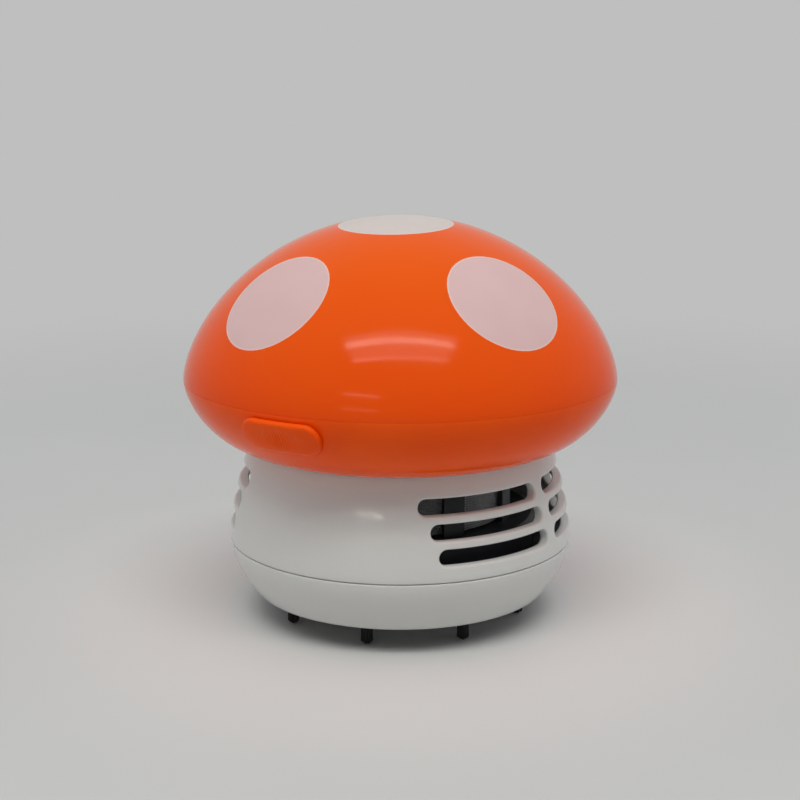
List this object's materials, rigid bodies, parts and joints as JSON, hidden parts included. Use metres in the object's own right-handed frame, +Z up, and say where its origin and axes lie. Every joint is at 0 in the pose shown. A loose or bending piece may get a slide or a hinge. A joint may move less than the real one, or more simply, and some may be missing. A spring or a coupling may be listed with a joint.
{
  "type": "desktop mini vacuum cleaner",
  "caption": "Toadstool-shaped desk vacuum cleaner: round spotted cap with a slide switch, slotted stem over a filter, and a twist-off base with a ring of brush tufts.",
  "frame": {"origin": "on the upright axis of the round body, at the level of the bristle tips, which is where the cleaner stands", "axes": "+Z up the axis to the crown of the cap; -Y to the front, where the switch is; +X to the right as seen from the front"},
  "size_m": [0.0878, 0.0892, 0.0811],
  "materials": {
    "orange_plastic": "gloss",
    "white_plastic": "satin",
    "black_plastic": "satin",
    "grey_mesh": "matte",
    "bristle": "matte",
    "steel": "satin",
    "copper": "satin",
    "brass": "satin",
    "magnet": "matte",
    "cell_foil": "satin",
    "red_insulation": "matte",
    "black_insulation": "matte"
  },
  "bodies": {
    "housing": {"cap_dish": "orange_plastic", "stem_shell": "white_plastic", "filter_basket": "black_plastic", "filter_mesh": "grey_mesh", "motor_can": "steel", "motor_magnet_front": "magnet", "motor_magnet_back": "magnet", "motor_end_cap": "white_plastic", "motor_terminal_left": "brass", "motor_terminal_right": "brass", "motor_clamp": "black_plastic", "battery_tray": "black_plastic", "battery_cell_left": "cell_foil", "battery_cell_right": "cell_foil", "battery_spring_left": "steel", "battery_spring_right": "steel", "contact_negative": "steel", "contact_positive": "steel", "contact_bridge": "steel", "slide_switch_case": "steel", "switch_pin_1": "brass", "switch_pin_2": "brass", "switch_pin_3": "brass", "tray_screw_1": "steel", "tray_screw_2": "steel", "tray_screw_3": "steel", "clamp_screw_1": "steel", "clamp_screw_2": "steel", "stem_screw_1": "steel", "stem_screw_2": "steel", "wire_negative": "black_insulation", "wire_positive": "red_insulation", "wire_motor": "red_insulation"},
    "dome": {"cap_dome": "orange_plastic"},
    "knob": {"switch_knob": "orange_plastic"},
    "lever": {"slide_switch_lever": "black_plastic"},
    "rotor": {"impeller": "white_plastic", "motor_shaft": "steel", "motor_armature": "copper", "motor_commutator": "copper"},
    "base": {"base_cover": "white_plastic", "brush_1": "bristle", "brush_2": "bristle", "brush_3": "bristle", "brush_4": "bristle"}
  },
  "joints": [
    {"name": "dome_lift", "type": "slide", "parent": "housing", "child": "dome", "axis": [0, 0, 1], "range_m": [0, 0.035]},
    {"name": "switch_sweep", "type": "hinge", "parent": "housing", "child": "knob", "pos_m": [0, 0, 0.0445], "axis": [0, 0, 1], "range_deg": [0, 4.5]},
    {"name": "switch_lever", "type": "slide", "parent": "housing", "child": "lever", "axis": [1, 0, 0], "range_m": [0, 0.003]},
    {"name": "fan_spin", "type": "hinge", "parent": "housing", "child": "rotor", "pos_m": [0, 0, 0.03], "axis": [0, 0, 1], "continuous": true},
    {"name": "base_twist", "type": "hinge", "parent": "housing", "child": "base", "pos_m": [0, 0, 0.0157], "axis": [0, 0, 1], "range_deg": [0, 20]}
  ],
  "couplings": [
    {"joint": "switch_lever", "follows": "switch_sweep", "m_per_rad": 0.038}
  ]
}
